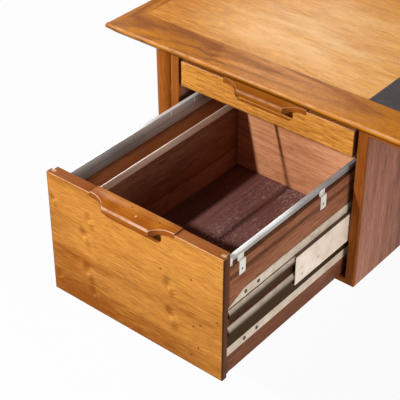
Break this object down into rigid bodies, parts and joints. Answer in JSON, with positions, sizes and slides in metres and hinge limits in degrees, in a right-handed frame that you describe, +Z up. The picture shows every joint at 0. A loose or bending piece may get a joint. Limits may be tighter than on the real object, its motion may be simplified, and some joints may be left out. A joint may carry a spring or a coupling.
{
  "type": "partners desk",
  "caption": "Walnut desk for two facing users: leather-inset top, turned legs, floating pedestals with shallow and file drawers, carved lip pulls and steel slides.",
  "frame": {"origin": "on the floor, under the middle of the bounding box with the left file drawer open as stored; the desk's own middle is 198 mm behind it along +Y", "axes": "+X to the right along the desk's length, +Y from the front to the back, +Z up"},
  "size_m": [1.98, 1.31, 0.737],
  "materials": {
    "field_veneer": "satin lacquered veneer",
    "solid_walnut": "satin lacquered solid wood",
    "front_veneer": "satin lacquered veneer, grain across",
    "case_veneer": "satin lacquered veneer, grain upright",
    "drawer_wood": "sealed walnut boards",
    "hardboard": "dark hardboard",
    "leather": "matt black leather",
    "bright_steel": "bright rolled steel",
    "zinc_steel": "zinc plated steel",
    "dark_screw": "blackened screw heads",
    "glide": "black glides"
  },
  "bodies": {
    "frame": {"top_panel": "field_veneer", "top_edging": "solid_walnut", "writing_leather": "leather", "leg_front_left": "solid_walnut", "leg_front_right": "solid_walnut", "leg_back_left": "solid_walnut", "leg_back_right": "solid_walnut", "foot_glides": "glide", "leg_spacers": "solid_walnut", "case_lipping": "solid_walnut", "kneehole_rails": "solid_walnut", "drawer_runners": "drawer_wood", "case_slide_channels": "zinc_steel", "left_case_outer_side": "case_veneer", "left_case_inner_side": "case_veneer", "left_case_bottom": "case_veneer", "left_case_back": "case_veneer", "right_case_outer_side": "case_veneer", "right_case_inner_side": "case_veneer", "right_case_bottom": "case_veneer", "right_case_back": "case_veneer"},
    "left_upper": {"left_upper_front": "front_veneer", "left_upper_pull": "solid_walnut", "left_upper_sides": "drawer_wood", "left_upper_back": "drawer_wood", "left_upper_bottom": "hardboard"},
    "left_file": {"left_file_front": "front_veneer", "left_file_pull": "solid_walnut", "left_file_left_side": "drawer_wood", "left_file_right_side": "drawer_wood", "left_file_back": "drawer_wood", "left_file_bottom": "hardboard", "left_file_folder_bar": "bright_steel", "left_file_foot_strips": "drawer_wood", "left_file_hanging_rails": "bright_steel", "left_file_rail_clips": "zinc_steel", "left_file_slide_rails": "zinc_steel", "left_file_slide_screws": "dark_screw"},
    "left_slide": {"left_file_middle_slides": "zinc_steel"},
    "right_upper": {"right_upper_front": "front_veneer", "right_upper_pull": "solid_walnut", "right_upper_sides": "drawer_wood", "right_upper_back": "drawer_wood", "right_upper_bottom": "hardboard"},
    "right_file": {"right_file_front": "front_veneer", "right_file_pull": "solid_walnut", "right_file_left_side": "drawer_wood", "right_file_right_side": "drawer_wood", "right_file_back": "drawer_wood", "right_file_bottom": "hardboard", "right_file_folder_bar": "bright_steel", "right_file_foot_strips": "drawer_wood", "right_file_hanging_rails": "bright_steel", "right_file_rail_clips": "zinc_steel", "right_file_slide_rails": "zinc_steel", "right_file_slide_screws": "dark_screw"},
    "right_slide": {"right_file_middle_slides": "zinc_steel"}
  },
  "joints": [
    {"name": "left_upper_drawer", "type": "slide", "parent": "frame", "child": "left_upper", "axis": [0, -1, 0], "range_m": [0, 0.38]},
    {"name": "left_file_drawer", "type": "slide", "parent": "frame", "child": "left_file", "axis": [0, -1, 0], "range_m": [-0.406, 0.054]},
    {"name": "left_middle_slide", "type": "slide", "parent": "frame", "child": "left_slide", "axis": [0, -1, 0], "range_m": [-0.203, 0.027]},
    {"name": "right_upper_drawer", "type": "slide", "parent": "frame", "child": "right_upper", "axis": [0, 1, 0], "range_m": [0, 0.38]},
    {"name": "right_file_drawer", "type": "slide", "parent": "frame", "child": "right_file", "axis": [0, 1, 0], "range_m": [0, 0.46]},
    {"name": "right_middle_slide", "type": "slide", "parent": "frame", "child": "right_slide", "axis": [0, 1, 0], "range_m": [0, 0.23]}
  ],
  "couplings": [
    {"joint": "left_middle_slide", "follows": "left_file_drawer", "ratio": 0.5},
    {"joint": "right_middle_slide", "follows": "right_file_drawer", "ratio": 0.5}
  ]
}
